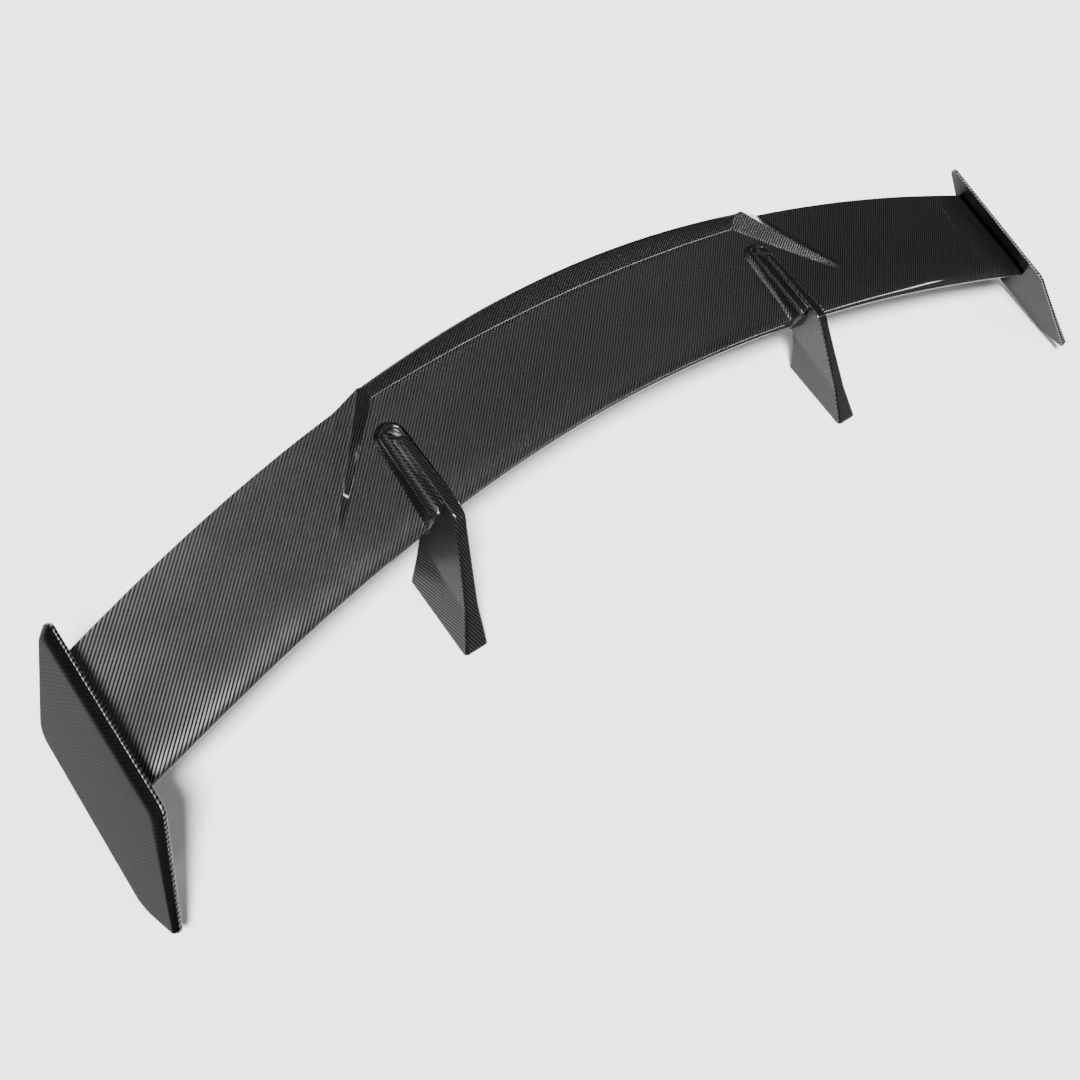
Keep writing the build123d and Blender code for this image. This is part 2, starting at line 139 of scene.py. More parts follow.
def box_uvs(points, faces):
    """Weave coordinates in millimetres, laid on each face from the axis that it faces most."""
    uvs = []
    for face in faces:
        a, b, c = (points[i] for i in face[:3])
        n = (b - a).cross(c - a)
        axis = max(range(3), key=lambda k: abs(n[k]))
        u, v = ((1, 2), (0, 2), (0, 1))[axis]
        uvs += [(points[i][u], points[i][v]) for i in face]
    return uvs


def across_uvs(rings):
    """Weave coordinates of a ring loft: the way across the rings against the way to the rear."""
    n = len(rings[0])
    gone = [[0.0] * n]
    for a, b in zip(rings, rings[1:]):
        gone.append([g + (q - p).length for g, p, q in zip(gone[-1], a, b)])

    def pick(r, i, face_i):
        way = gone[r][i % n]
        return (way if i % n < n / 2 else -way, rings[r][i % n].y)
    return pick


def strip_uvs(rings, strip):
    """Weave coordinates of a strut: flat on its flanks, and along the way on its front strip."""
    n = len(rings[0])
    middle = strip // 2
    gone = [0.0]
    for a, b in zip(rings, rings[1:]):
        gone.append(gone[-1] + (b[middle] - a[middle]).length)

    def turned(a, b, degrees):
        c, s = math.cos(math.radians(degrees)), math.sin(math.radians(degrees))
        return (a * c + b * s, b * c - a * s)

    def pick(r, i, face_i):
        p = rings[r][i % n]
        return turned(p.x, gone[r], STRIP_TURN) if face_i < strip else turned(p.y, p.z, FLANK_TURN)
    return pick


def ring_loft(name, rings, material, mirror, weave):
    """A closed solid through rings of equal length, with flat end caps.

    weave(ring, place on the ring, face on the ring) gives the weave coordinates of the sides.
    """
    n = len(rings[0])
    points = [p for ring in rings for p in ring]
    faces = []
    for r in range(len(rings) - 1):
        for i in range(n):
            j = (i + 1) % n
            faces.append((r * n + i, r * n + j, (r + 1) * n + j, (r + 1) * n + i))
    faces.append(tuple(reversed(range(n))))
    faces.append(tuple(range((len(rings) - 1) * n, len(rings) * n)))
    uvs = []
    for r in range(len(rings) - 1):
        for i in range(n):
            corners = ((r, i), (r, i + 1), (r + 1, i + 1), (r + 1, i))
            uvs += [weave(a, b, i) for a, b in corners]
    uvs += box_uvs(points, faces[-2:])
    if mirror:
        points = flip(points)
        turned, k = [], 0
        for f in faces:
            turned += list(reversed(uvs[k:k + len(f)]))
            k += len(f)
        uvs = turned
        faces = [tuple(reversed(f)) for f in faces]
    return new_mesh(name, points, faces, uvs, material)


def rounded(corners, radii, steps=8, per_edge=10):
    """A closed outline with round corners: always the same number of points, so that rings match."""
    count = len(corners)
    arcs = []
    for k, (corner, radius) in enumerate(zip(corners, radii)):
        before = (corners[k - 1] - corner).normalized()
        after = (corners[(k + 1) % count] - corner).normalized()
        half = before.angle(after) / 2
        reach = radius / math.tan(half)
        centre = corner + (before + after).normalized() * (radius / math.sin(half))
        start, end = corner + before * reach, corner + after * reach
        arc = []
        for i in range(steps + 1):
            spoke = (start - centre).lerp(end - centre, i / steps)
            arc.append(centre + spoke.normalized() * radius)
        arcs.append(arc)
    outline = []
    for k, arc in enumerate(arcs):
        outline += arc
        nxt = arcs[(k + 1) % count][0]
        outline += [arc[-1].lerp(nxt, i / per_edge) for i in range(1, per_edge)]
    return outline


# ---------------------------------------------------------------- materials
def nodes_of(name):
    """A new material with its node tree and its surface shader."""
    material = bpy.data.materials.new(name)
    material.use_nodes = True
    tree = material.node_tree
    shader = tree.nodes["Principled BSDF"]
    return material, tree, shader


def math_node(tree, operation, a, b=None, c=None):
    node = tree.nodes.new("ShaderNodeMath")
    node.operation = operation
    for socket, value in zip(node.inputs, (a, b, c)):
        if value is None:
            continue
        if isinstance(value, (int, float)):
            socket.default_value = value
        else:
            tree.links.new(value, socket)
    return node.outputs[0]


def carbon(name, warp, weft, weave=1.0, base_rough=0.3, turn=1, coat=1.0, grazing=1.0):
    """Clear-lacquered 2x2 twill: tows TOW wide, each over two and under two, ribs at 45 degrees.

    turn is 1 or -1, for the way the ribs lean; grazing under 1 dulls the fibres seen edge-on.
    """
    sway_scale, sway_reach = 0.012, 9.0         # the cloth drifts this many millimetres across the mould
    relief = 0.0004                             # height of the weave under the lacquer, in metres
    material, tree, shader = nodes_of(name)
    uv = tree.nodes.new("ShaderNodeUVMap")
    uv.uv_map = "weave"
    split = tree.nodes.new("ShaderNodeSeparateXYZ")
    tree.links.new(uv.outputs[0], split.inputs[0])
    sway = tree.nodes.new("ShaderNodeTexNoise")
    sway.inputs["Scale"].default_value = sway_scale
    sway.inputs["Detail"].default_value = 1.0
    tree.links.new(uv.outputs[0], sway.inputs["Vector"])
    drift = math_node(tree, "MULTIPLY", math_node(tree, "SUBTRACT", sway.outputs[0], 0.5), sway_reach)
    u = math_node(tree, "DIVIDE", math_node(tree, "ADD", split.outputs[0], drift), TOW)
    v = math_node(tree, "DIVIDE", math_node(tree, "ADD", split.outputs[1], drift), TOW * turn)
    col = math_node(tree, "FLOOR", u)
    row = math_node(tree, "FLOOR", v)
    step = math_node(tree, "FLOORED_MODULO", math_node(tree, "SUBTRACT", col, row), 4.0)
    over = math_node(tree, "LESS_THAN", step, 1.5)          # 1 where the tow along v is on top

    def crown(coordinate):
        """0 at a tow's edges and 1 along its middle."""
        f = math_node(tree, "FRACT", coordinate)
        return math_node(tree, "SINE", math_node(tree, "MULTIPLY", f, math.pi))

    across_u, across_v = crown(u), crown(v)
    tall = math_node(tree, "MULTIPLY", over, across_u)
    wide = math_node(tree, "MULTIPLY", math_node(tree, "SUBTRACT", 1.0, over), across_v)
    body = math_node(tree, "ADD", tall, wide)

    def fibres(squeeze):
        mapping = tree.nodes.new("ShaderNodeMapping")
        mapping.inputs["Scale"].default_value = squeeze
        tree.links.new(uv.outputs[0], mapping.inputs["Vector"])
        noise = tree.nodes.new("ShaderNodeTexNoise")
        noise.inputs["Scale"].default_value = 1.0
        noise.inputs["Detail"].default_value = 3.0
        tree.links.new(mapping.outputs[0], noise.inputs["Vector"])
        return noise.outputs[0]

    along_v, along_u = fibres((6.0, 0.25, 1.0)), fibres((0.25, 6.0, 1.0))
    streak = tree.nodes.new("ShaderNodeMix")
    tree.links.new(over, streak.inputs[0])
    tree.links.new(along_u, streak.inputs[2])
    tree.links.new(along_v, streak.inputs[3])

    tone = tree.nodes.new("ShaderNodeMix")
    tone.data_type = "RGBA"
    tree.links.new(over, tone.inputs[0])
    tone.inputs[6].default_value = (*weft, 1)
    tone.inputs[7].default_value = (*warp, 1)
    shade = math_node(tree, "MULTIPLY_ADD", body, 0.55 * weave, 1.0 - 0.5 * weave)
    fibre_tone = math_node(tree, "MULTIPLY_ADD", streak.outputs[0], 0.9, 0.55)
    shade = math_node(tree, "MULTIPLY", shade, fibre_tone)
    tint = tree.nodes.new("ShaderNodeMix")
    tint.data_type = "RGBA"
    tint.blend_type = "MULTIPLY"
    tint.inputs[0].default_value = 1.0
    tree.links.new(tone.outputs[2], tint.inputs[6])
    tree.links.new(shade, tint.inputs[7])
    tree.links.new(tint.outputs[2], shader.inputs["Base Color"])

    rough = math_node(tree, "MULTIPLY_ADD", streak.outputs[0], 0.2, base_rough - 0.1)
    tree.links.new(rough, shader.inputs["Roughness"])
    bump = tree.nodes.new("ShaderNodeBump")
    bump.inputs["Strength"].default_value = 0.35 * weave
    bump.inputs["Distance"].default_value = relief
    tree.links.new(body, bump.inputs["Height"])
    tree.links.new(bump.outputs[0], shader.inputs["Normal"])
    shader.inputs["Metallic"].default_value = 0.9         # the fibres shine like dull metal
    shader.inputs["Specular Tint"].default_value = (grazing, grazing, grazing, 1)
    shader.inputs["Coat Weight"].default_value = coat
    shader.inputs["Coat Roughness"].default_value = 0.035
    shader.inputs["Coat IOR"].default_value = 1.5
    return material


def noisy(name, colour, metallic, rough, scale=300.0, spread=0.15, relief=0.0):
    """A plain machined, cast or moulded finish with fine mottling."""
    material, tree, shader = nodes_of(name)
    place = tree.nodes.new("ShaderNodeTexCoord")
    noise = tree.nodes.new("ShaderNodeTexNoise")
    noise.inputs["Scale"].default_value = scale
    noise.inputs["Detail"].default_value = 4.0
    tree.links.new(place.outputs["Object"], noise.inputs["Vector"])
    factor = math_node(tree, "MULTIPLY_ADD", noise.outputs[0], 2 * spread, 1.0 - spread)
    tint = tree.nodes.new("ShaderNodeMix")
    tint.data_type = "RGBA"
    tint.blend_type = "MULTIPLY"
    tint.inputs[0].default_value = 1.0
    tint.inputs[6].default_value = (*colour, 1)
    tree.links.new(factor, tint.inputs[7])
    tree.links.new(tint.outputs[2], shader.inputs["Base Color"])
    tree.links.new(math_node(tree, "MULTIPLY", factor, rough), shader.inputs["Roughness"])
    shader.inputs["Metallic"].default_value = metallic
    if relief:
        bump = tree.nodes.new("ShaderNodeBump")
        bump.inputs["Strength"].default_value = relief
        bump.inputs["Distance"].default_value = 0.0003
        tree.links.new(noise.outputs[0], bump.inputs["Height"])
        tree.links.new(bump.outputs[0], shader.inputs["Normal"])
    return material


# ---------------------------------------------------------------- the wing
def leading(x):
    t = abs(x) / PLAN_HALF
    return Vector((x, -124.5 * t**2 + 13.1 * t**4, -11.3 * t**2 - 7.7 * t**4))


def trailing(x):
    t = abs(x) / PLAN_HALF
    return Vector((x, 168.9 - 140.6 * t**2 + 8.9 * t**4, 16.3 - 15.07 * t**2 - 6.93 * t**4))


def half_thickness(s, chord):
    root = 0.2969 * math.sqrt(s) - 0.1260 * s - 0.3516 * s**2 + 0.2843 * s**3 - 0.1036 * s**4
    return 5 * THICKNESS_RATIO * chord * root + TE_HALF * s


TIP_NORMAL = (TIP_FRONT - TIP_REAR).cross(TIP_LOW - TIP_REAR).normalized()
if TIP_NORMAL.x < 0:
    TIP_NORMAL.negate()


def tip_x(y, z):
    """Where the right end plate's inner face stands."""
    return TIP_REAR.x - (TIP_NORMAL.y * (y - TIP_REAR.y) + TIP_NORMAL.z * (z - TIP_REAR.z)) / TIP_NORMAL.x


def section(x, s, side):
    """A point of the plain wing: side 1 is the top, -1 the underside and 0 the mean line."""
    front, rear = leading(x), trailing(x)
    along = rear - front
    chord = along.length
    up = Vector((0, -along.z, along.y)) / chord
    camber = CAMBER_RATIO * chord * 4 * s * (1 - s)
    return front + along * s + up * (camber + side * half_thickness(s, chord))


def flap_rise(x, y, top_z, edge_y):
    """Height of the raised centre flap above the plain wing."""
    t = min(abs(x) / FLAP_HALF, 1.0)
    foot = mix(FLAP_FOOT_CENTRE, FLAP_FOOT_END, t * t)
    d = eased((y - (edge_y - foot)) / foot, FLAP_FILLET) / (1 - FLAP_FILLET / 2)
    if d <= 0:
        return 0.0
    t2 = (x / PLAN_HALF) ** 2
    rise = FLAP_TOP_Z - FLAP_DROP * t2 - top_z
    return rise * (0.72 * d + 0.28 * d * d)


def fin_rise(x, y):
    """Height of the triangular fin outside the flap's corner."""
    ridge = FIN_TAIL - FIN_PEAK
    length = ridge.length
    along = ridge / length
    offset = Vector((abs(x), y)) - FIN_PEAK
    u = offset.dot(along) / length
    v = offset.dot(Vector((-along.y, along.x)))
    if u > 1.0 or u < -0.25:
        return 0.0
    left = 1.0 - max(u, 0.0)
    if v > 0:
        width = FIN_OUTER * left + 3.2
    else:
        width = FIN_INNER * left**0.6 + 2.6
    height = FIN_HEIGHT * left
    return height * eased(1.0 - abs(v) / width, FIN_FILLET) / (1 - FIN_FILLET / 2)


def top_point(x, s):
    p = section(x, s, 1)
    edge = trailing(x)
    rise = 0.0
    if abs(x) <= FLAP_HALF:
        rise = flap_rise(x, p.y, edge.z + TE_HALF, edge.y)
    fin = fin_rise(x, p.y)
    if fin > 0 and abs(x) <= FLAP_HALF:
        rise = smooth_max(rise, fin, 2.0) if rise > 0 else fin
    elif fin > 0:
        rise = fin
    lean = 0.12 * rise if s > 0.8 else 0.0
    return Vector((x, p.y + lean * ramp((s - 0.8) / 0.2), p.z + rise))


def spread(start, end, step):
    count = max(round((end - start) / step), 1)
    return [start + (end - start) * i / count for i in range(count)]


def span_stations():
    """Half the span, finely cut where the fins stand."""
    half = spread(0, 262, 5.0) + spread(262, 402, 1.15)
    half += spread(402, LAST_SQUARE, 6.0) + spread(LAST_SQUARE, TIP_STATION, 5.2)
    half.append(TIP_STATION)
    return [-x for x in reversed(half[1:])] + half


def chord_stations():
    """Fractions of the chord: close together at the nose and over the flap and fins."""
    nose = [0.5 * (1 - math.cos(math.pi * i / 40)) for i in range(10)]
    return nose + spread(nose[-1] + 0.012, 0.25, 0.012) + spread(0.25, 0.995, 0.0075) + [0.9935, 1.0]


def fit_tip(p, x):
    """Moves a point of the outermost stretch so that the wing ends on the end plate's inner face."""
    reach = abs(x) - LAST_SQUARE
    if reach <= 0:
        return p
    stretch = (tip_x(p.y, p.z) + 0.4 - LAST_SQUARE) / (TIP_STATION - LAST_SQUARE)
    return Vector((math.copysign(LAST_SQUARE + reach * stretch, x), p.y, p.z))


def wing_skin(name, outer, s_list, material, side):
    """One skin of the wing as a closed solid, from its outer surface to the mean line."""
    xs = span_stations()
    loops = []
    for x in xs:
        outer_line = [outer(x, s) for s in s_list]
        lip = section(x, 1.0, 0)
        corner = outer_line[-1].copy()
        lip.y = corner.y - (0.1 * (corner.z - lip.z) if side > 0 else 0.0)
        fall = (lip - corner).normalized() * EDGE_ROUND
        back = Vector((0, -EDGE_ROUND, 0))
        outer_line[-1] = corner + back
        for turn in (30, 60, 90):
            a = math.radians(turn)
            outer_line.append(corner + back * (1 - math.sin(a)) + fall * (1 - math.cos(a)))
        inner_line = [section(x, s, 0) for s in reversed(s_list[4:-4:6])]
        loops.append([fit_tip(p, x) for p in outer_line + [lip] + inner_line])
    n = len(loops[0])
    points = [p for loop in loops for p in loop]
    lengths = []
    for loop in loops:
        total, row = 0.0, [0.0]
        for a, b in zip(loop, loop[1:]):
            total += (b - a).length
            row.append(total)
        shift = loop[0].y
        lengths.append([shift + d for d in row] + [shift + total + (loop[0] - loop[-1]).length])
    faces, uvs = [], []
    for r in range(len(xs) - 1):
        for i in range(n):
            j = (i + 1) % n
            face = [(r, i, i), (r + 1, i, i), (r + 1, j, i + 1), (r, j, i + 1)]
            if side < 0:
                face.reverse()
            faces.append(tuple(a * n + b for a, b, _ in face))
            uvs += [(loops[a][b].x, lengths[a][c]) for a, b, c in face]
    for r, flipped in ((0, side > 0), (len(xs) - 1, side < 0)):
        cap = [r * n + i for i in range(n)]
        if not flipped:
            cap.reverse()
        faces.append(tuple(cap))
        uvs += [(points[i].y, points[i].z) for i in cap]
    return new_mesh(name, points, faces, uvs, material)


# ---------------------------------------------------------------- end plates
def inset_corners(corners, insets):
    """Moves each edge of an outline inwards; insets gives the distance at the edge's start and end."""
    count = len(corners)
    lines = []
    for k in range(count):
        a, b = corners[k], corners[(k + 1) % count]
        d = (b - a).normalized()
        inward = Vector((d.y, -d.x))
        start, end = insets[k]
        lines.append((a + inward * start, b + inward * end))
    moved = []
    for k in range(count):
        p, q = lines[k - 1]
        r, s = lines[k]
        d1, d2 = q - p, s - r
        t = (r - p).cross(d2) / d1.cross(d2)
        moved.append(p + d1 * t)
    return moved


def end_plate(side, material, rim_highlight_material):
    """A flat inner face, a thin rim and a bevelled outer face, canted out towards its foot."""
    rear_to_front = (TIP_REAR - TIP_FRONT).normalized()
    up = TIP_NORMAL.cross(rear_to_front)
    flat = []
    for y, z in PLATE_OUTLINE:
        d = Vector((tip_x(y, z), y, z)) - TIP_REAR
        flat.append(Vector((d.dot(rear_to_front), d.dot(up))))
    # bevel widths along the rear, bottom, lower nose, front and top edges
    bevel = ((2.0, 2.0), (2.0, 3.0), (3.0, 3.0), (3.0, 13.0), (13.0, 14.0))
    rim = 4.2

    def ring(share, depth, flat_inset=0.0, soften=0.0):
        insets = [(a * share + flat_inset, b * share + flat_inset) for a, b in bevel]
        corners = inset_corners(flat, insets)
        radii = [max(r - flat_inset - share * soften, 1.5) for r in PLATE_RADII]
        return [TIP_REAR + rear_to_front * p.x + up * p.y + TIP_NORMAL * depth
                for p in rounded(corners, radii)]

    fall = PLATE_THICK - rim
    # the rim's rings, from the inner face round to the bevel: share of the bevel, depth and inset
    rim_run = ((0, 0.35, 1.6), (0, 0.35, 1.0), (0, 0.5, 0.5), (0, 0.9, 0.12), (0, 1.4, 0.0),
               (0, rim - 0.8, 0.0), (0, rim - 0.2, 0.15), (0.03, rim + 0.25, 0.35))
    rim_rings = len(rim_run)
    rings = [ring(*step) for step in rim_run]
    for k in range(1, 11):
        t = k / 10
        # an almost straight bevel that rolls over into the outer face
        depth = rim + fall * (1 - (1 - t) ** 1.45)
        rings.append(ring(0.03 + 0.97 * t, depth, 0.35, 4.0))
    rings.append(ring(1.0, PLATE_THICK + 0.02, 1.2, 4.0))
    rings.append(ring(1.0, PLATE_THICK + 0.04, 3.0, 4.0))
    rings.append(ring(1.0, PLATE_THICK + 0.05, 6.0, 4.0))
    n = len(rings[0])
    way = [0.0]
    for p, q in zip(rings[5], rings[5][1:] + rings[5][:1]):
        way.append(way[-1] + (q - p).length)

    def weave(r, i, face_i):
        p = rings[r][i % n]
        if r < rim_rings:
            return (way[i], rim * r / rim_rings)
        return (p.y, p.z)

    plate = ring_loft(f"{side}_end_plate", rings, material, side == "left", weave)
    # the rim's faces take the lighter twill, a painted highlight along the plate's edge
    plate.data.materials.append(rim_highlight_material)
    for face in plate.data.polygons[:(rim_rings - 1) * n]:
        face.material_index = 1
    return plate


# ---------------------------------------------------------------- struts and saddles
def strut_centre(z):
    return STRUT_X_TOP + (STRUT_X_FOOT - STRUT_X_TOP) * (ARM_TOP - z) / (ARM_TOP - FOOT_Z)


def strut_ring(front, rear, half_front, half_rear, radius):
    """A slice across the strut, from its front or top edge to its rear or lower edge."""
    length = (rear - front).length
    along = (rear - front) / length
    corners = [Vector((0, -half_front)), Vector((0, half_front)),
               Vector((length, half_rear)), Vector((length, -half_rear))]
    back = min(half_rear * 0.85, 5.0)
    outline = rounded(corners, (radius, radius, back, back), steps=7, per_edge=12)
    ring = []
    for p in outline:
        yz = front + along * p.x
        ring.append(Vector((strut_centre(yz.y) + p.y, yz.x, yz.y)))
    return ring


def strut(side, material):
    """The swan neck: from the arm's tail on the wing, over the bend and down the flaring leg."""
    bend = Vector((BEND_Y, ARM_TOP))
    foot = Vector((FOOT_FRONT_Y, FOOT_Z))
    slope = (foot - bend).normalized()
    rear_low = Vector((46.0, 2.0))
    neck = Vector((8.0, -10.0))
    stations = []

    def add(front, rear, half_front, half_rear, radius):
        stations.append((front, rear, half_front, half_rear, radius))

    # the arm's tail, from its lowest point up: the edge's y and z, and the half width there
    tail = [(Vector((96.0, 6.0)), 3.4), (Vector((93.0, 13.0)), 4.1), (Vector((90.0, 17.6)), 4.4),
            (Vector((87.0, 20.0)), 4.5), (Vector((74.5, 26.8)), 4.6), (Vector((71.0, 28.2)), 4.7),
            (Vector((66.0, 28.95)), 4.8)]
    for front, half in tail:
        add(front, rear_low, half, half, min(ARM_EDGE, half * 0.7))
    arm_steps = 10
    arm_start, arm_end = Vector((60.0, 29.1)), bend + Vector((BEND_ROUND, 0.0))
    for i in range(arm_steps + 1):
        t = i / arm_steps
        halves = mix(4.85, 7.0, t), mix(5.0, 7.6, t)
        add(arm_start.lerp(arm_end, t), rear_low.lerp(neck, t), *halves, ARM_EDGE)
    bend_end = bend + slope * BEND_ROUND
    bend_steps = 6
    for i in range(1, bend_steps + 1):
        t = i / bend_steps
        curve = arm_end.lerp(bend, t).lerp(bend.lerp(bend_end, t), t)
        add(curve, neck + Vector((-0.6, -1.2)) * t, 7.1, 7.7, BEND_EDGE)
    # down the leg: the rear edge's y and z with the half width there, then the same for the front edge
    rear_run = [(neck, 7.4), (Vector((2.0, -20.0)), 7.4), (Vector((-11.4, -36.0)), 7.5),
                (Vector((-14.6, -39.6)), 7.9), (Vector((-26.0, -56.0)), 11.9),
                (Vector((FOOT_REAR_Y, FOOT_Z)), 17.0)]
    front_run = [(bend_end, 7.2), (bend + slope * 62, 8.0), (bend + slope * 108, 9.2),
                 (bend + slope * 113, 9.7), (bend + slope * 132, 12.2), (foot, 15.4)]
    leg_steps = 6
    for k in range(len(rear_run) - 1):
        (rear_a, half_a), (rear_b, half_b) = rear_run[k:k + 2]
        (front_a, nose_a), (front_b, nose_b) = front_run[k:k + 2]
        for i in range(1, leg_steps + 1):
            t = i / leg_steps
            halves = mix(nose_a, nose_b, t), mix(half_a, half_b, t)
            add(front_a.lerp(front_b, t), rear_a.lerp(rear_b, t), *halves, LEG_EDGE)
    rings = [strut_ring(*station) for station in stations]
    # two slightly smaller rings round off the sole's edge
    last = rings[-1]
    middle = sum(last, Vector()) / len(last)
    for lift, share in ((-0.35, 0.995), (-0.55, 0.985)):
        rings.append([middle + (p - middle) * share + Vector((0, 0, lift)) for p in last])
    weave = strip_uvs(rings, FRONT_STRIP)
    return ring_loft(f"{side}_swan_neck_strut", rings, material, side == "left", weave)


def saddle_loop(inner_front, outer_front, inner_rear, outer_rear, y_front, y_rear, height):
    """A loop round the arm: straight sides that draw in to a round rear end, and a blunt front."""
    loop = []
    side_steps, end_steps, front_steps = 22, 18, 10
    depth = 0.5 * (inner_rear + outer_rear) * 0.9
    y_end = y_rear - depth

    def front_at(x):
        return y_front + leading(x).y - leading(SADDLE_X).y

    for i in range(side_steps):
        t = i / side_steps
        x = SADDLE_X - mix(inner_front, inner_rear, t)
        loop.append((x, mix(front_at(x), y_end, t)))
    for i in range(end_steps + 1):
        a = math.pi * i / end_steps
        reach = inner_rear if a < math.pi / 2 else outer_rear
        loop.append((SADDLE_X - reach * math.cos(a), y_end + depth * math.sin(a)))
    for i in range(1, side_steps + 1):
        t = i / side_steps
        x = SADDLE_X + mix(outer_rear, outer_front, t)
        loop.append((x, mix(y_end, front_at(x), t)))
    for i in range(1, front_steps):
        t = i / front_steps
        x = SADDLE_X + mix(outer_front, -inner_front, t)
        loop.append((x, front_at(x)))
    return [Vector((x, y, height(x, y))) for x, y in loop]


def arm_top(y):
    """Height of the arm's top edge, which falls away at its tail."""
    if y < TAIL_START_Y:
        return mix(ARM_TOP, TAIL_START_Z, (y - BEND_Y) / (TAIL_START_Y - BEND_Y))
    fallen = (y - TAIL_START_Y) / (TAIL_END_Y - TAIL_START_Y)
    return mix(TAIL_START_Z, TAIL_END_Z, min(fallen, 1.4))


def wing_top_z(x, y):
    """Height of the plain wing's top, and just under its nose ahead of the leading edge."""
    front, rear = leading(x), trailing(x)
    s = (y - front.y) / (rear.y - front.y)
    if s <= 0.004:
        return front.z - 3.0
    return section(x, min(s, 1.0), 1).z


def saddle(side, material):
    """Pedestal on the wing: up from the skin to a rounded rim, down into a groove and up round the arm."""
    def on_wing(lift):
        return lambda x, y: wing_top_z(x, y) + lift

    def level(z, floor_lift):
        """Level at z, but never above the arm's falling tail nor below the wing."""
        return lambda x, y: max(min(z, arm_top(y) - 1.4), wing_top_z(x, y) + floor_lift)

    # each loop's half widths at the front (inboard, outboard) and at the rear, its two ends and its height
    front = SADDLE_FRONT_Y
    rings = [saddle_loop(23.0, 27.5, 19.5, 22.0, front + 1.0, 104.0, on_wing(-2.5)),
             saddle_loop(22.2, 26.6, 18.4, 21.0, front + 1.2, 102.8, on_wing(0.05)),
             saddle_loop(21.2, 25.8, 17.2, 20.2, front + 1.4, 101.6, on_wing(0.7)),
             saddle_loop(19.8, 25.0, 15.9, 19.4, front + 1.6, 100.4, on_wing(2.2)),
             saddle_loop(17.6, 24.2, 14.0, 18.8, front + 1.8, 99.2, level(9.0, 3.6)),
             saddle_loop(16.0, 23.6, 12.6, 18.3, front + 2.0, 98.2, level(14.6, 5.4)),
             saddle_loop(15.2, 23.2, 11.8, 17.9, front + 2.2, 97.4, level(16.4, 7.4)),
             saddle_loop(14.6, 22.7, 11.3, 17.4, front + 2.4, 96.6, level(17.5, 8.4)),
             saddle_loop(14.0, 22.0, 10.8, 16.8, front + 2.7, 95.8, level(17.9, 8.7)),
             saddle_loop(13.3, 21.2, 10.2, 16.0, front + 3.2, 94.8, level(17.8, 8.2)),
             saddle_loop(12.4, 19.6, 9.5, 14.6, front + 4.0, 93.6, level(17.2, 7.2)),
             saddle_loop(11.0, 16.0, 8.4, 11.8, front + 5.0, 92.2, level(17.2, 6.4)),
             saddle_loop(10.0, 12.6, 7.9, 9.2, front + 5.5, 91.0, level(18.6, 5.0)),
             saddle_loop(8.7, 10.0, 6.8, 7.3, front + 6.0, 89.0, level(21.2, 4.0)),
             saddle_loop(7.7, 8.3, 5.9, 6.1, front + 6.4, 87.0, level(24.6, 3.0)),
             saddle_loop(7.0, 7.2, 5.2, 5.3, front + 6.7, 84.0, level(27.2, 3.0)),
             saddle_loop(5.0, 5.2, 3.8, 3.8, front + 7.0, 78.0, level(27.4, 3.0))]
    rings = [list(reversed(r)) for r in rings]
    return ring_loft(f"{side}_arm_saddle", rings, material, side == "left", across_uvs(rings))


# ---------------------------------------------------------------- materials for each piece
wing_carbon = carbon("wing twill", (0.092, 0.088, 0.086), (0.008, 0.008, 0.009))
# painted shade: the wing's twill copied with darker tows, standing in for the shade on the struts' and
# saddles' flanks
strut_twill_painted_shade = carbon("strut twill painted shade", (0.050, 0.048, 0.047), (0.006, 0.006, 0.007), turn=-1, coat=0.3,
                      grazing=0.62)
# painted shade: a much darker copy of the twill, standing in for the shade on the end plates' faces and
# bevels
plate_twill_painted_shade = carbon("end plate twill painted shade", (0.0130, 0.0122, 0.0150), (0.0080, 0.0075, 0.0092), weave=0.4,
                      turn=-1, coat=0.04, grazing=0.75)
# painted highlight: a much lighter copy of the end plate's twill on the thin rim, standing in for the
# light caught along the plate's edge
rim_twill_painted_highlight = carbon("rim twill painted highlight", (0.150, 0.145, 0.142), (0.010, 0.010, 0.011), turn=-1, coat=0.6)
finishes = {
    "aluminium": noisy("machined aluminium", (0.78, 0.79, 0.80), 1.0, 0.32, 900.0, 0.2, 0.1),
    "steel": noisy("zinc plated steel", (0.50, 0.49, 0.47), 1.0, 0.30, 700.0, 0.2, 0.1),
    "rubber": noisy("gasket rubber", (0.022, 0.022, 0.023), 0.0, 0.75, 500.0, 0.25, 0.3),
    "foam": noisy("closed-cell foam", (0.72, 0.63, 0.44), 0.0, 0.9, 1200.0, 0.2, 0.6),
    "carbon_inner": noisy("bare carbon", (0.030, 0.030, 0.032), 0.0, 0.5, 1500.0, 0.4, 0.3),
}

# ---------------------------------------------------------------- assemble
s_steps = chord_stations()
upper = wing_skin("wing_top_with_flap", top_point, s_steps, wing_carbon, 1)
lower = wing_skin("wing_underside", lambda x, s: section(x, s, -1), s_steps, wing_carbon, -1)
pieces = [(upper, "carbon_wing", ("wing_upper_skin", "centre_flap", "left_fin", "right_fin")),
          (lower, "carbon_wing", ("wing_lower_skin",))]
for hand in ("left", "right"):
    pieces += [
        (end_plate(hand, plate_twill_painted_shade, rim_twill_painted_highlight), "carbon_plate",
         (f"{hand}_end_plate_inner_skin", f"{hand}_end_plate_outer_tray")),
        (strut(hand, strut_twill_painted_shade), "carbon_strut",
         (f"{hand}_strut_outer_shell", f"{hand}_strut_inner_shell")),
        (saddle(hand, strut_twill_painted_shade), "carbon_strut", (f"{hand}_strut_saddle",)),
    ]
for piece, slot, stood_for in pieces:
    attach(piece, "root")
    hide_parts(*stood_for)

slot_of = {row["node"]: row["material_slot"] for row in frame["record"]["subparts"]}
for name, node in frame["nodes"].items():
    finish = finishes.get(slot_of[name])
    if finish is None:
        continue
    node.data.materials.clear()
    node.data.materials.append(finish)

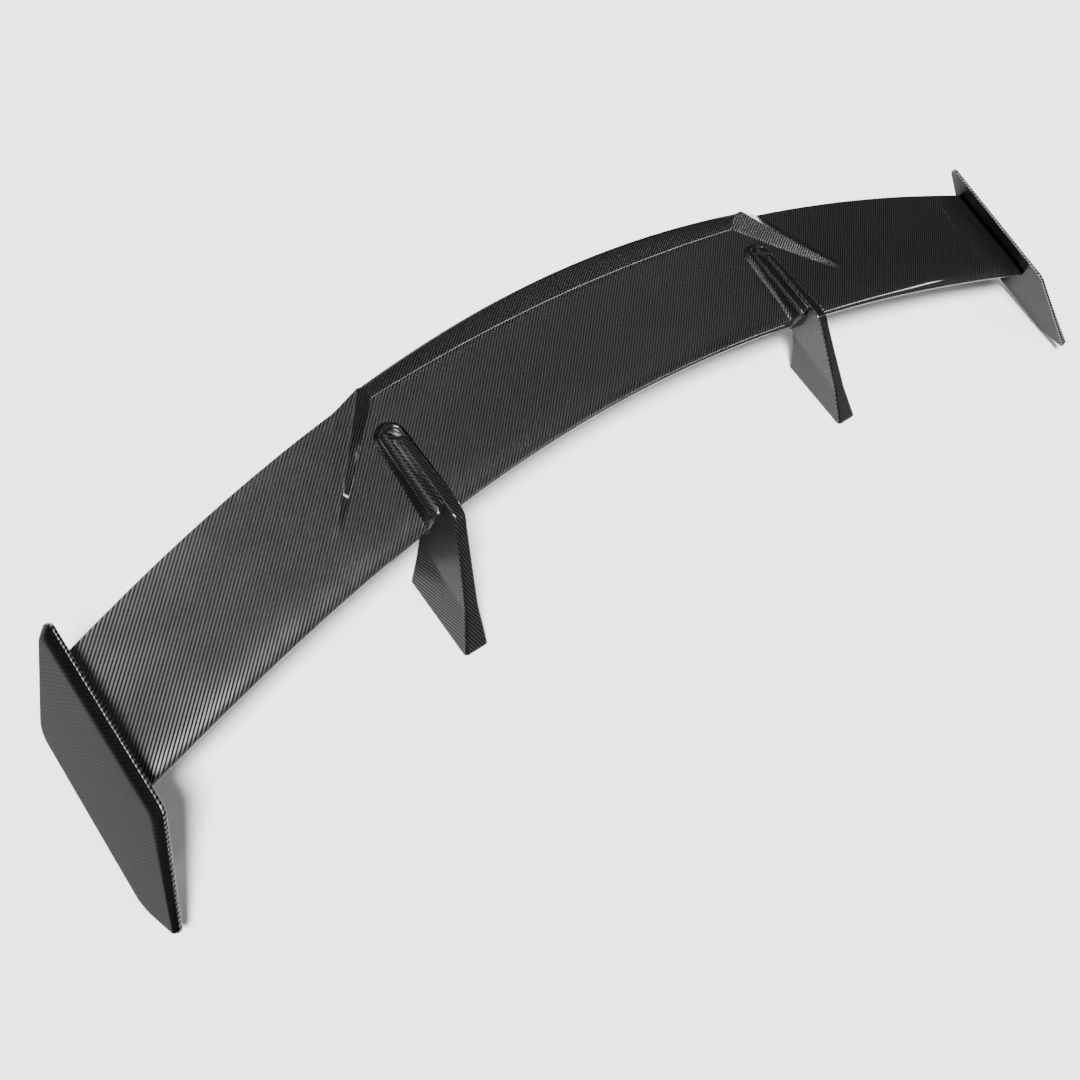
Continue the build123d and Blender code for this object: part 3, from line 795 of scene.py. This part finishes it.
# ---------------------------------------------------------------- camera, floor and light
right = Vector((0.75786, -0.58769, 0.28332)).normalized()
forward = Vector((0.47872, 0.20587, -0.85349)).normalized()
up = right.cross(forward)
camera_data = bpy.data.cameras.new("camera")
camera_data.sensor_width = 36.0
camera_data.lens = 40.42
camera = bpy.data.objects.new("camera", camera_data)
turn = Matrix((right, up, -forward)).transposed().to_4x4()
camera.matrix_world = Matrix.Translation((-0.8487, -0.3376, 1.2082)) @ turn
bpy.context.scene.collection.objects.link(camera)
bpy.context.scene.camera = camera

floor_half = 8.0
floor_mesh = bpy.data.meshes.new("floor")
floor_mesh.from_pydata([(-floor_half, -floor_half, 0), (floor_half, -floor_half, 0),
                        (floor_half, floor_half, 0), (-floor_half, floor_half, 0)], [], [(0, 1, 2, 3)])
floor_mesh.materials.append(noisy("pale floor", (0.93, 0.93, 0.93), 0.0, 0.7, 40.0, 0.01))
floor = bpy.data.objects.new("floor", floor_mesh)
bpy.context.scene.collection.objects.link(floor)


def softbox(name, place, aim, size, power):
    data = bpy.data.lights.new(name, "AREA")
    data.shape = "RECTANGLE"
    data.size, data.size_y = size
    data.energy = power
    light = bpy.data.objects.new(name, data)
    light.location = place
    light.rotation_euler = (Vector(aim) - Vector(place)).to_track_quat("-Z", "Y").to_euler()
    bpy.context.scene.collection.objects.link(light)


def sun(name, towards, strength, spread_degrees):
    """Even light from one side, with the soft shadow edge of a wide source."""
    data = bpy.data.lights.new(name, "SUN")
    data.energy = strength
    data.angle = math.radians(spread_degrees)
    light = bpy.data.objects.new(name, data)
    light.rotation_euler = Vector(towards).to_track_quat("-Z", "Y").to_euler()
    bpy.context.scene.collection.objects.link(light)


sun("broad key", (0.45, 0.15, -0.88), 12.0, 18.0)
softbox("front strip", (1.4, -1.4, 1.9), (0.2, 0, 0.1), (3.4, 0.06), 17.0)
softbox("rear strip", (0.3, 2.6, 0.6), (0, 0, 0.1), (3.0, 0.2), 30.0)
softbox("fin light", (-0.116, 1.71, 2.08), (-0.35, 0.1, 0.1), (0.7, 0.12), 8.0)


def sky():
    """A dark studio with one large soft-edged light above and behind, to the right."""
    world = bpy.data.worlds.new("studio")
    world.use_nodes = True
    tree = world.node_tree
    place = tree.nodes.new("ShaderNodeTexCoord")
    along = tree.nodes.new("ShaderNodeVectorMath")
    along.operation = "DOT_PRODUCT"
    along.inputs[1].default_value = Vector((0.38, 0.28, 0.88)).normalized()
    tree.links.new(place.outputs["Generated"], along.inputs[0])
    fall = tree.nodes.new("ShaderNodeMapRange")
    fall.interpolation_type = "SMOOTHERSTEP"
    for socket, value in zip(fall.inputs[1:5], (0.90, 0.965, 0.02, 0.34)):
        socket.default_value = value
    tree.links.new(along.outputs["Value"], fall.inputs[0])
    back = tree.nodes["Background"]
    back.inputs[0].default_value = (0.97, 0.98, 1.0, 1)
    tree.links.new(fall.outputs[0], back.inputs[1])
    return world


bpy.context.scene.world = sky()
